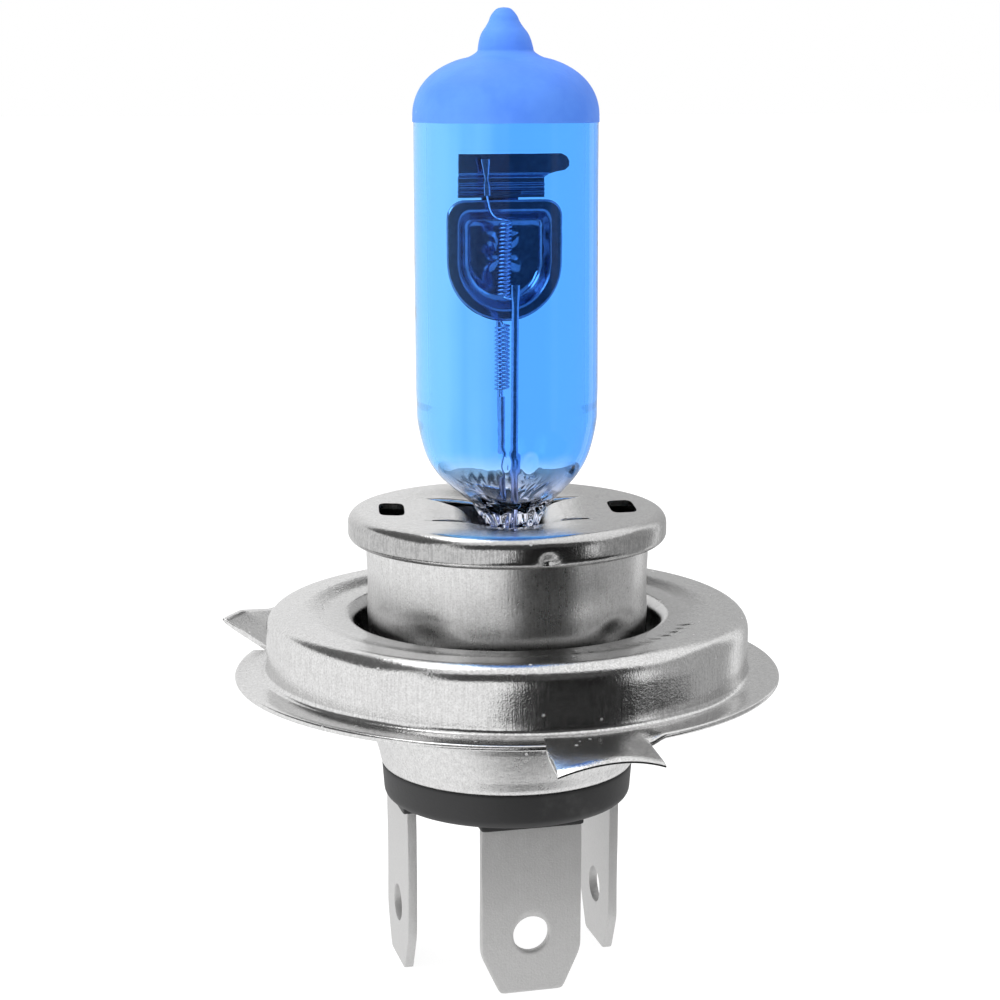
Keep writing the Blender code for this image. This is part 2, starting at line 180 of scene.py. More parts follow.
# one mesh from grids of points; each grid may close on itself along its rows or its columns, face inwards,
# and take the second of two finishes
def addPiece(name, grids, finish, replaces=(), sharp=40):
    whole = bmesh.new()
    for grid in grids:
        points, wrapRows, wrapColumns, inward, layer = (*grid, False, 0)[:5]
        rows, columns = points.shape[:2]
        index = np.arange(rows * columns).reshape(rows, columns)
        if wrapRows:
            index = np.concatenate([index, index[:1]])
        if wrapColumns:
            index = np.concatenate([index, index[:, :1]], axis=1)
        corners = np.stack([index[:-1, :-1], index[:-1, 1:], index[1:, 1:], index[1:, :-1]], -1)
        corners = corners.reshape(-1, 4)
        mesh = bpy.data.meshes.new(name)
        mesh.vertices.add(rows * columns)
        mesh.vertices.foreach_set("co", (points * mm).ravel())
        mesh.loops.add(corners.size)
        mesh.loops.foreach_set("vertex_index", corners.ravel())
        mesh.polygons.add(len(corners))
        mesh.polygons.foreach_set("loop_start", np.arange(len(corners)) * 4)
        mesh.update(calc_edges=True)
        part = bmesh.new()
        part.from_mesh(mesh)
        bmesh.ops.remove_doubles(part, verts=part.verts[:], dist=2e-8)
        bmesh.ops.dissolve_degenerate(part, edges=part.edges[:], dist=1e-9)
        bmesh.ops.recalc_face_normals(part, faces=part.faces[:])
        if inward:
            bmesh.ops.reverse_faces(part, faces=part.faces[:])
        for face in part.faces:
            face.material_index = layer
        part.to_mesh(mesh)
        part.free()
        whole.from_mesh(mesh)
        bpy.data.meshes.remove(mesh)
    mesh = bpy.data.meshes.new(name)
    whole.to_mesh(mesh)
    whole.free()
    mesh.shade_smooth()
    mesh.set_sharp_from_angle(angle=np.radians(sharp))
    for layer in finish if isinstance(finish, list) else [finish]:
        mesh.materials.append(layer)
    piece = bpy.data.objects.new(name, mesh)
    bpy.context.scene.collection.objects.link(piece)
    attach(piece, "root")
    if replaces:
        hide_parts(*replaces)
    return piece


# wraps a socket so that arithmetic on it adds Math nodes
class Wire:
    def __init__(self, finish, socket):
        self.finish, self.socket = finish, socket

    def math(self, operation, *others):
        return self.finish.node("Math", {"operation": operation}, dict(enumerate(others)))

    def __add__(self, other):
        return self.math("ADD", self, other)

    def __sub__(self, other):
        return self.math("SUBTRACT", self, other)

    def __rsub__(self, other):
        return self.math("SUBTRACT", other, self)

    def __mul__(self, other):
        return self.math("MULTIPLY", self, other)

    def __pow__(self, other):
        return self.math("POWER", self, other)

    __radd__, __rmul__ = __add__, __mul__


class Finish:
    def __init__(self, name):
        self.material = bpy.data.materials.new(name)
        self.material.use_nodes = True
        self.nodes, self.links = self.material.node_tree.nodes, self.material.node_tree.links
        self.nodes.clear()

    # makes any node: its settings come first, then its sockets' values or links
    def node(self, kind, settings=None, inputs=None, output=0):
        made = self.nodes.new("ShaderNode" + kind)
        for key, value in (settings or {}).items():
            setattr(made, key, value)
        for key, value in (inputs or {}).items():
            if isinstance(value, Wire):
                self.links.new(value.socket, made.inputs[key])
            else:
                made.inputs[key].default_value = value
        return Wire(self, made.outputs[output] if made.outputs else None)

    def place(self):
        return self.node("TexCoord", output="Object")

    def axes(self, vector):
        split = self.node("SeparateXYZ", inputs={0: vector})
        return [Wire(self, split.socket.node.outputs[k]) for k in range(3)]

    def noise(self, vector, scale, detail=3.0, roughness=0.5):
        return self.node("TexNoise", inputs={"Vector": vector, "Scale": scale, "Detail": detail,
                                             "Roughness": roughness})

    def smooth(self, value, low, high):
        return self.node("MapRange", {"interpolation_type": "SMOOTHSTEP"},
                         {"Value": value, "From Min": low, "From Max": high})

    def mix(self, factor, a, b):
        return self.node("Mix", {"data_type": "RGBA"}, {0: factor, 6: a, 7: b}, output=2)

    def bump(self, height, distance, strength=1.0):
        return self.node("Bump", inputs={"Strength": strength, "Distance": distance, "Height": height})

    def shader(self, inputs):
        principled = self.node("BsdfPrincipled", inputs=inputs)
        self.node("OutputMaterial", inputs={0: principled})
        return self.material


def grey(level, warm=0.0):
    return (level * (1 + warm), level, level * (1 - warm), 1.0)


# specks: small dots where a cell's centre is near, kept only in some cells
def specks(finish, scale, size, share):
    cell = finish.node("TexVoronoi", inputs={"Vector": finish.place(), "Scale": scale})
    pick = Wire(finish, cell.socket.node.outputs["Color"])
    chosen = finish.smooth(finish.axes(pick)[0], 1 - share, 1 - share + 0.02)
    return finish.smooth(cell, size, size * 0.5) * chosen


# nickel-plated sheet steel: cloudy tone, drawing lines up the walls, fine grain and a few bright specks
def nickel(name, tone=0.75, roughness=0.12, lines=0.6, grain=0.9, flecks=0.12):
    # where a mask starts and where it is full, in metres from the axis (r) or above the plug's underside (z)
    # the first mask is painted shade in the trough between shell and ring; the second is the scuffed band
    # round the lid's rim
    troughShade = {"r": (0.0162, 0.0128), "top": (0.0168, 0.0125), "bottom": (0.0085, 0.01), "tone": 0.26}
    scuffs = {"r": (0.0114, 0.0119), "top": (0.0234, 0.0224), "bottom": (0.019, 0.02), "tone": 0.16}
    finish = Finish(name)
    place = finish.place()
    cloud = finish.noise(place, 420, 4.0, 0.6)
    x, y, z = finish.axes(place)
    drawn = finish.noise(finish.node("CombineXYZ", inputs={0: x, 1: y, 2: z * 0.05}), 8000, 3.0, 0.6)
    fine = finish.noise(place, 7000, 2.0)
    grit = finish.noise(place, 2400, 4.0, 0.7)
    dots = specks(finish, 760, 0.12, flecks)
    pits = specks(finish, 240, 0.07, 0.1)
    colour = finish.mix(cloud, grey(tone * 0.92, 0.006), grey(tone * 1.05, 0.004))
    worn = (fine * 0.9 + grit * 0.7 + drawn * 0.7 - 1.15) * 0.8 + 0.5
    colour = finish.mix(finish.smooth(worn, 0.0, 1.0), grey(tone * 0.72, 0.006), grey(tone * 1.26, 0.002))
    # painted shade deep in the trough between the shell and the ring: the barrel's foot and the ring's inner
    # slope are darkened
    r = (x * x + y * y) ** 0.5
    within = lambda zone: (finish.smooth(r, *zone["r"]) * finish.smooth(z, *zone["top"])
                           * finish.smooth(z, *zone["bottom"]))
    colour = finish.mix(within(troughShade) * (0.6 + cloud * 0.2), colour, grey(troughShade["tone"]))
    # the lid's rim is scuffed where the crimping tool gripped it
    gripped = 0.25 + 0.35 * finish.smooth(drawn * 0.5 + grit * 0.5, 0.4, 0.6)
    colour = finish.mix(within(scuffs) * gripped, colour, grey(scuffs["tone"]))
    colour = finish.mix(dots, colour, grey(min(0.97, tone * 1.3)))
    colour = finish.mix(pits * 0.85, colour, grey(0.06))
    height = drawn * lines + fine * grain + cloud * 1.2 + grit * 0.9 - dots * 0.8 - pits * 2.0
    return finish.shader({
        "Base Color": colour, "Metallic": 1.0, "Specular Tint": grey(0.86),
        "Roughness": roughness - 0.06 + cloud * 0.08 + drawn * 0.08 + grit * 0.06 + dots * 0.45,
        "Normal": finish.bump(height, 1.2e-5, 0.8)})


# tinned brass blades: fine lines along the blade, a soft mottle and a few scuffs
def tinned(name, tone=0.6):
    finish = Finish(name)
    place = finish.place()
    x, y, z = finish.axes(place)
    streak = finish.node("CombineXYZ", inputs={0: x * 26, 1: y * 26, 2: z * 1.2})
    lines = finish.noise(streak, 160, 4.0, 0.6)
    mottle = finish.noise(place, 900, 4.0, 0.6)
    scuff = finish.smooth(finish.noise(place, 380, 6.0, 0.7), 0.6, 0.72)
    colour = finish.mix(mottle, grey(tone * 0.93, 0.008), grey(tone * 1.05, 0.006))
    fleck = finish.noise(place, 6500, 2.0)
    colour = finish.mix(scuff * 0.5, colour, grey(tone * 1.18))
    colour = finish.mix(fleck * 0.6, colour, grey(tone * 0.7))
    return finish.shader({
        "Base Color": colour, "Metallic": 0.6,
        "Roughness": 0.4 + mottle * 0.12 + scuff * 0.08,
        "Normal": finish.bump(lines * 0.8 + mottle * 0.5 + fleck, 3e-5, 0.7)})


# lamp metals: dark refractory sheet and wire
def refractory(name, tone, roughness, grainScale=2600, strength=0.35, bloom=1.0):
    finish = Finish(name)
    cloud = finish.noise(finish.place(), grainScale, 3.0)
    # a heat bloom leans the grey towards blue
    shade = lambda level: (level, level * (1 + 0.1 * bloom), level * (1 + 0.6 * bloom), 1)
    colour = finish.mix(cloud, shade(tone * 0.75), shade(tone * 1.2))
    return finish.shader({
        "Base Color": colour, "Metallic": 1.0, "Roughness": roughness - 0.05 + cloud * 0.1,
        "Normal": finish.bump(cloud, 1.2e-5, strength)})


# heat-resistant blue paint: an even satin coat with a faint orange peel and a few pale specks
def bluePaint():
    paint = {"deep": (0.075, 0.25, 0.93, 1), "pale": (0.1, 0.3, 0.98, 1), "peel": 2600}
    finish = Finish("bluePaint")
    place = finish.place()
    cloud = finish.noise(place, 260, 4.0, 0.6)
    peel = finish.noise(place, paint["peel"], 2.0)
    speck = specks(finish, 700, 0.09, 0.1)
    colour = finish.mix(finish.smooth(cloud, 0.3, 0.7), paint["deep"], paint["pale"])
    colour = finish.mix(speck * 0.4, colour, (0.4, 0.6, 1.0, 1))
    return finish.shader({
        "Base Color": colour, "Roughness": 0.5 + cloud * 0.1, "Specular IOR Level": 0.4,
        "Normal": finish.bump(peel * 1.6 + cloud * 1.5, 3e-5, 0.6)})


# the paint's inner side, lit by the light that soaks through the thin coat: the subsurface scatter carries
# real light, and the paler colour is painted light that brightens it further
def paintInside():
    return Finish("paintInside").shader({
        "Base Color": (0.22, 0.5, 1, 1), "Roughness": 0.6, "Subsurface Weight": 1.0,
        "Subsurface Radius": (1, 1, 1), "Subsurface Scale": 0.0008})


# quartz with a blue tint on its outside that stops at the foot; pinch and bore are clear and a little wavy
def tintedQuartz(name, tint, fadeLow, fadeHigh):
    finish = Finish(name)
    place = finish.place()
    x, y, height = finish.axes(place)
    ragged = height + (finish.noise(place, 380, 3.0) - 0.5) * 0.0016
    blue = finish.smooth(ragged, fadeLow * mm, fadeHigh * mm)
    # the tint is painted paler towards the lit side of the tube and deeper on the shaded side, as painted
    # light and shade; its border runs down the tube in faint streaks
    runs = finish.noise(finish.node("CombineXYZ", inputs={0: x, 1: y, 2: height * 0.03}), 420, 3.0)
    across = x * 0.97 - y * 0.25 + (finish.noise(place, 150, 2.0) - 0.5) * 0.004 + (runs - 0.5) * 0.009
    litSideTint = finish.smooth(across, 0.001, -0.0065)
    colour = finish.mix(blue, tint["clear"], finish.mix(litSideTint, tint["blue"], tint["pale"]))
    waves = finish.noise(place, 230, 2.0)
    return finish.shader({
        "Base Color": colour, "Roughness": 0.0, "IOR": 1.46, "Transmission Weight": 1.0,
        "Specular Tint": grey(0.25),
        "Normal": finish.bump(waves, 6e-5, 0.35)})


# moulded black resin: matt, with a fine spark texture and dusty scuffs
def blackResin():
    finish = Finish("blackResin")
    place = finish.place()
    cloud = finish.noise(place, 300, 5.0, 0.65)
    spark = finish.noise(place, 3200, 3.0, 0.6)
    dust = finish.smooth(cloud, 0.55, 0.8)
    colour = finish.mix(dust, (0.024, 0.024, 0.025, 1), (0.05, 0.05, 0.05, 1))
    return finish.shader({
        "Base Color": colour, "Roughness": 0.48 + cloud * 0.16,
        "Normal": finish.bump(spark + cloud, 3e-5, 0.5)})


# the tube is drawn a hair inside its nominal radius, and its upper end stands a little off the axis
trim = 0.08


def leanTube(grid):
    share = ease(grid[..., 2], 24, 53) * 0.11 + ease(grid[..., 2], 57.4, 61.3) * 0.16
    grid[..., 0] -= share
    return grid


# the tube's outer side from the apex down to the coat's edge: an exhaust tip on a flat dome
def domePath(offset):
    low, high = boxMm("anti_glare_coat")
    radius = boxMm("glass_envelope")[1][0] - trim
    dome = {"foot": 53.2, "rise": 4.82, "power": 2.3}
    # the dome is a superellipse: (r / radius)^power + ((z - foot) / rise)^power = 1
    r = radius * np.sin(np.linspace(0.36, np.pi / 2, 12)) ** 0.9
    above = dome["rise"] * np.maximum(1 - (r / radius) ** dome["power"], 0) ** (1 / dome["power"])
    tip = [(0, 0), (0.5, -0.1), (0.92, -0.55), (1.12, -1.0), (1.38, -1.42), (1.7, -1.86), (1.9, -2.35),
           (2.02, -2.85), (2.14, -3.25)]
    tip = [(x, high[2] - 0.08 + z) for x, z in tip]
    path = smoothThrough(tip + list(zip(r, dome["foot"] + above)) + [(radius, low[2])], 110)
    along = np.gradient(path, axis=0)
    along /= np.linalg.norm(along, axis=1)[:, None]
    out = np.stack([-along[:, 1], along[:, 0]], -1)
    out[0] = (0, 1)
    path = path + out * offset
    path[0, 0] = 0
    return path


def addGlass():
    low, high = boxMm("glass_envelope")
    glass = {"radius": high[0] - trim, "wall": 1.0, "foot": low[2], "fade": (24.0, 27.4), "flute": 0.09}
    # each row: height, half width across the pinch, half width along it, squareness
    big = glass["radius"]
    rows = [(32.6, big, big, 2), (31.4, big - 0.04, big - 0.04, 2), (30.2, 6.97, 7.0, 2),
            (28.6, 6.66, 6.75, 2), (27.2, 6.2, 6.35, 2.0), (26.0, 5.45, 5.85, 2.05), (25.0, 4.45, 5.35, 2.15),
            (24.1, 3.3, 4.85, 2.4), (23.3, 2.35, 4.5, 3.0), (22.5, 1.75, 4.3, 4.2), (21.6, 1.48, 4.25, 6),
            (20.2, 1.4, 4.25, 7), (17.6, 1.4, 4.25, 7), (glass["foot"], 1.4, 4.25, 7)]
    lower = smoothThrough(rows, 120)
    lower[-1, 0] = glass["foot"]
    dome = domePath(-0.002)
    straight = np.linspace(dome[-1, 1], rows[0][0], 30)[1:-1]
    # levels of round section: height, the same half width twice, and squareness 2
    roundLevels = lambda z, r: np.stack([z, r + 0 * z, r + 0 * z, 0 * z + 2], -1)
    upper = [roundLevels(dome[:, 1], dome[:, 0]), roundLevels(straight, big)]
    end = np.array([[glass["foot"], 0, 0, 7]])
    outer = np.concatenate([*upper, lower, end])
    angles = fullTurn(200)

    # a rounded rectangle round the axis: cosines raised to 2 / squareness
    def shell(levels):
        z, a, b, n = (levels[:, k:k + 1] for k in range(4))
        c, s = np.cos(angles)[None], np.sin(angles)[None]
        x = a * np.sign(c) * np.abs(c) ** (2 / n)
        y = b * np.sign(s) * np.abs(s) ** (2 / n)
        return np.stack([x, y, z + 0 * x], -1)

    body = shell(outer)
    pressed = ease(body[..., 2], 25.2, 22.8) * ease(body[..., 2], glass["foot"], glass["foot"] + 1)
    body[..., 0] += pressed * glass["flute"] * np.cos(body[..., 1] * 5.6) * np.sign(body[..., 0])
    body[..., 1] += pressed * glass["flute"] * np.cos(body[..., 0] * 6.6) * np.sign(body[..., 1])
    bore = big - glass["wall"]
    inside = [(31.8, bore, bore, 2), (30.4, 6.12, 6.15, 2), (29.0, 6.02, 6.05, 2), (27.6, 5.7, 5.8, 2),
              (26.3, 5.0, 5.2, 2), (25.3, 4.05, 4.65, 2), (24.5, 2.95, 4.1, 2), (23.9, 1.9, 3.2, 2),
              (23.55, 0.8, 1.5, 2.0), (23.5, 0, 0, 2)]
    bottom = smoothThrough(inside, 60)
    bottom[:, 1:3] = np.maximum(bottom[:, 1:3], 0)
    domeInside = smoothThrough([(56.9, 0), (56.85, 1.6), (56.5, 3.2), (55.7, 4.75), (54.7, 5.6), (53.6, bore),
                                (52.6, bore)], 40)
    middle = np.linspace(52.6, 31.8, 24)[1:-1]
    hollow = shell(np.concatenate([roundLevels(*domeInside.T), roundLevels(middle, bore), bottom]))
    # two oval blisters and a wreath of small ones stand proud of the bore's foot: each is a ring-shaped ridge
    blisters = [((-1.5, 27.7), (0.35, 0.75), 0.07, 0), ((0.2, 27.75), (0.65, 0.95), 0.07, 0),
                ((-2.7, 29.5), (1.2, 0.75), 0.004, 9)]
    swell = 0 * hollow[..., 0]
    for (x, z), (halfX, halfZ), height, lobes in blisters:
        dx, dz = (hollow[..., 0] - x) / halfX, (hollow[..., 2] - z) / halfZ
        ring = bump(np.hypot(dx, dz) - 1, 0.24) * (1 + 0.9 * (lobes > 0) * np.cos(lobes * np.arctan2(dz, dx)))
        swell = swell + height * ring * (hollow[..., 1] < 0)
    hollow[..., :2] *= 1 + swell[..., None] / 5.5
    # a few stretched bubbles in the pinch
    seed = np.random.default_rng(7)
    u = np.linspace(0, np.pi, 12)[:, None]
    v = fullTurn(16)[None]
    ball = np.stack([np.sin(u) * np.cos(v), np.sin(u) * np.sin(v), np.cos(u) + 0 * v], -1)
    bubbles = []
    for bubble in range(14):
        centre = (seed.uniform(-0.9, 0.9), seed.uniform(-3.9, 1.0), seed.uniform(19.6, 23.2))
        bubbles.append((centre + ball * seed.uniform(0.05, 0.14) * (1, 1, 1.9), False, True, True, 1))
    body, hollow = leanTube(body), leanTube(hollow)
    clear = (0.95, 0.96, 0.99, 1)
    # the pale tint is painted light on the lit side of the tube
    outside = tintedQuartz("tintedQuartz", {"blue": (0.085, 0.37, 0.97, 1), "pale": (0.18, 0.53, 0.98, 1),
                                            "clear": (0.86, 0.87, 0.97, 1)}, *glass["fade"])
    boreSide = tintedQuartz("clearQuartz", {"blue": clear, "pale": clear, "clear": clear}, *glass["fade"])
    addPiece("glassEnvelope", [(body, False, True, False, 0), (hollow, False, True, True, 1), *bubbles],
             [outside, boreSide], ["glass_envelope"], sharp=80)


def addCoat():
    coat = {"thickness": 0.05, "gap": 0.012, "waver": 0.02}
    outer, inner = domePath(coat["gap"] + coat["thickness"]), domePath(coat["gap"])
    high = boxMm("anti_glare_coat")[1]
    outer[:, 1] = np.minimum(outer[:, 1], high[2])
    grid = turned(np.concatenate([outer, inner[::-1]]), fullTurn(144))
    # the coat's lower edge wavers
    edge = ease(grid[..., 2], 54.0, 52.9)
    angle = np.arctan2(grid[..., 1], grid[..., 0])
    grid[..., 2] += edge * coat["waver"] * (1 + np.sin(angle * 3) * 0.6 + np.sin(angle * 11 + 1) * 0.3)
    piece = addPiece("antiGlareCoat", [(leanTube(grid), False, True)], [bluePaint(), paintInside()],
                     ["anti_glare_coat"], sharp=60)
    # faces that look towards the middle of the tube take the inner finish
    heart = Vector((0, 0, 50 * mm))
    for face in piece.data.polygons:
        face.material_index = int(face.normal.dot(face.center - heart) < 0)


# a U outline: round bottom, straight sides, rounded top corners, as count points from the bottom round
def dishOutline(half, top, bottom, corner, count=120):
    t = np.linspace(np.pi, 2 * np.pi, 40)
    low = np.stack([half * np.cos(t), bottom + half + half * np.sin(t)], -1)
    a = np.linspace(0, np.pi / 2, 12)
    right = np.stack([half - corner + corner * np.cos(a), top - corner + corner * np.sin(a)], -1)
    left = np.stack([-right[::-1, 0], right[::-1, 1]], -1)
    loop = np.concatenate([low, right, left, low[:1]])
    run = np.concatenate([[0], np.cumsum(np.linalg.norm(np.diff(loop, axis=0), axis=1))])
    want = np.linspace(0, run[-1], count, endpoint=False)
    return np.stack([np.interp(want, run, loop[:, k]) for k in range(2)], -1)


def addShield(finish):
    low, high = boxMm("low_beam_shield")
    dish = {"half": high[0], "depth": 1.35, "sheet": 0.2, "corner": 1.35, "dimple": 0.28}
    front = low[1] + 0.02
    # how far in from the edge, how deep: a flat rim, a rolled lip, a steep wall and a flat floor
    steps = smoothThrough([(0, 0.12), (0.12, 0.02), (0.45, 0), (0.75, 0.02), (0.95, 0.14), (1.15, 0.55),
                           (1.4, 1.0), (1.75, 1.26), (2.2, dish["depth"]), (2.6, dish["depth"])], 44)
    loops = []
    for inset, depth in steps:
        half = dish["half"] - inset
        corner = max(0.35, dish["corner"] - inset * 0.45)
        outline = dishOutline(half, high[2] - inset, low[2] + inset, corner)
        loops.append(np.stack([outline[:, 0], front + depth + 0 * outline[:, 0], outline[:, 1]], -1))
    middle = loops[-1].mean(axis=0)
    middle[1] = loops[-1][0, 1]
    for share in (0.75, 0.5, 0.25, 0.0):
        loops.append(middle + (loops[-1 if share > 0.7 else len(steps) - 1] - middle) * share)
    face = np.stack(loops)
    for x in (-0.85, 0.85):
        for z in (42.3, 44.0):
            apart = np.hypot(face[..., 0] - x, face[..., 2] - z)
            face[..., 1] -= dish["dimple"] * bump(apart, 0.42)
    back = face[::-1] + [0, dish["sheet"], 0]
    addPiece("lowBeamShield", [(np.concatenate([face, back]), True, True)], finish, ["low_beam_shield"],
             sharp=60)


def addBracket(finish):
    low, high = boxMm("shield_bracket")
    tab = {"bottom": 47.25, "left": low[0], "right": 3.3, "flag": high[0], "sheet": 0.24,
           "front": low[1] + 0.14}
    z = np.linspace(tab["bottom"], high[2], 90)[:, None]
    # the right edge swells out into a flag with a notch below and a clipped corner above
    edge = np.interp(z, [47.2, 48.75, 49.0, 49.2, 49.32, 49.6, 50.0, 50.35, high[2]],
                     [tab["right"], tab["right"], 3.6, 4.3, 5.0, tab["flag"], tab["flag"], 5.15, 4.7])
    across = np.linspace(0, 1, 60)[None]
    x = tab["left"] + across * (edge - tab["left"])
    # folded ledges across the tab below the flag: rise, height and width of each
    ledges = ((0.16, 48.95, 0.09), (0.14, 48.2, 0.1), (0.12, 47.85, 0.07), (0.1, 47.55, 0.06))
    ridge = sum(rise * bump(z - level, width) for rise, level, width in ledges)
    lean = 0.2 * ease(z, 49.1, 48.7)
    y = tab["front"] + 0 * x - ridge * ease(x, 4.2, 3.1) + lean
    face = np.stack([x, y, z + 0 * x], -1)
    back = face[:, ::-1] + [0, tab["sheet"], 0]
    sheet = capped(np.concatenate([face, back], axis=1))
    # the strip that runs down behind the shield, and the bridge that joins it to the tab
    strip = softBlock((-1.5, 2.2, 41.5), (1.5, high[1], 47.9), power=0.1)
    bridge = softBlock((-1.5, 0.95, 47.45), (1.5, high[1], 47.75), power=0.1)
    addPiece("shieldBracket", [(grid, False, True) for grid in (sheet, strip, bridge)], finish,
             ["shield_bracket"], sharp=50)


# a helix whose axis leans from one foot point to a head point
def coilPath(foot, head, radius, turns, start, perTurn=26):
    t = np.linspace(0, 1, int(turns * perTurn) + 1)[:, None]
    a = 2 * np.pi * (t * turns + start)
    foot, head = np.array(foot, float), np.array(head, float)
    return foot + (head - foot) * t + radius * np.concatenate([np.cos(a), np.sin(a), 0 * a], axis=1)


def addFilaments(finish):
    wire = {"radius": 0.085, "lowCoil": 0.44, "highCoil": 0.52, "lowTurns": 19.25, "highTurns": 15.75}
    low = coilPath((-0.6, -1.15, 39.85), (-0.42, -1.15, 45.5), wire["lowCoil"], wire["lowTurns"], 0.75)
    lowFoot = smoothThrough([(0.05, -2.6, 40.4), (0.0, -2.45, 39.95), (-0.1, -2.0, 39.72), low[0]], 14)[:-1]
    lowHead = smoothThrough([low[-1], (-0.75, -1.5, 45.72), (-1.15, -1.0, 45.85), (-1.42, -0.5, 46.3),
                             (-1.54, -0.1, 47.1), (-1.58, 0.12, 47.8), (-1.6, 0.22, 49.4)], 30)[1:]
    high = coilPath((-0.42, -0.05, 32.55), (-0.4, -0.05, 37.5), wire["highCoil"], wire["highTurns"], 0.25)
    highHead = smoothThrough([high[-1], (-0.4, -0.5, 37.65), (-0.35, 0.3, 37.7), (-0.3, 1.4, 38.0),
                              (-0.3, 2.1, 39.2)], 20)[1:]
    highFoot = smoothThrough([(-0.4, -0.12, 31.2), (-0.4, 0.1, 31.9), (-0.42, 0.35, 32.3), high[0]], 14)[:-1]
    for name, node, runs in (("lowBeamFilament", "low_beam_filament", [lowFoot, low, lowHead]),
                             ("highBeamFilament", "high_beam_filament", [highFoot, high, highHead])):
        addPiece(name, [(tube(np.concatenate(runs), wire["radius"], 10), False, True)], finish, [node],
                 sharp=80)


def addPosts(finish):
    heightOf = lambda node: boxMm(node)[1][2]
    foot = boxMm("low_beam_post")[0][2]

    # a round wire that is squeezed flat at its head: width grows as depth shrinks
    def post(name, node, route, radius, flat):
        path = smoothThrough(route, 60)
        grid = tube(path, radius, 16)
        middle = np.concatenate([path[:1], path, path[-1:]])[:, None]
        squeeze = ease(middle[..., 2], heightOf(node) - 1.6, heightOf(node) - 0.5) * flat
        away = grid - middle
        grid = middle + away * np.stack([1 + squeeze * 0.35, 1 - squeeze * 0.45, 1 + 0 * squeeze], -1)
        addPiece(name, [(grid, False, True)], finish, [node], sharp=60)

    post("lowBeamPost", "low_beam_post", [(-0.25, -3, foot), (-0.22, -3, 26), (-0.2, -3, 33),
                                          (-0.14, -2.98, heightOf("low_beam_post"))], 0.27, 0.7)
    post("highBeamPost", "high_beam_post", [(-0.36, 0, foot), (-0.38, 0, 26),
                                            (-0.4, 0, heightOf("high_beam_post"))], 0.22, 0.0)
    post("commonPost", "common_post", [(0.35, 3, foot), (0.3, 3, 27), (0.1, 2.9, 36),
                                       (0, 2.85, heightOf("common_post"))], 0.24, 0.4)
    # the clip is a flattened wire, waisted where it grips the filament's leg
    lowClip, highClip = boxMm("filament_clip")
    z = np.linspace(lowClip[2], highClip[2], 30)[:, None]
    width = 0.24 * (1 - 0.4 * bump(z - 48.7, 0.35)) * (1 + 0.4 * ease(z, 49.2, 50.2))
    a = np.linspace(0, 2 * np.pi, 16, endpoint=False)[None]
    strip = np.stack([-1.62 - 0.05 * (z - 48.8) + width * np.cos(a),
                      lowClip[1] + 0.02 + 0.1 * np.sin(a) + 0 * z, z + 0 * a], -1)
    addPiece("filamentClip", [(capped(strip), False, True)], finish, ["filament_clip"],
             sharp=60)


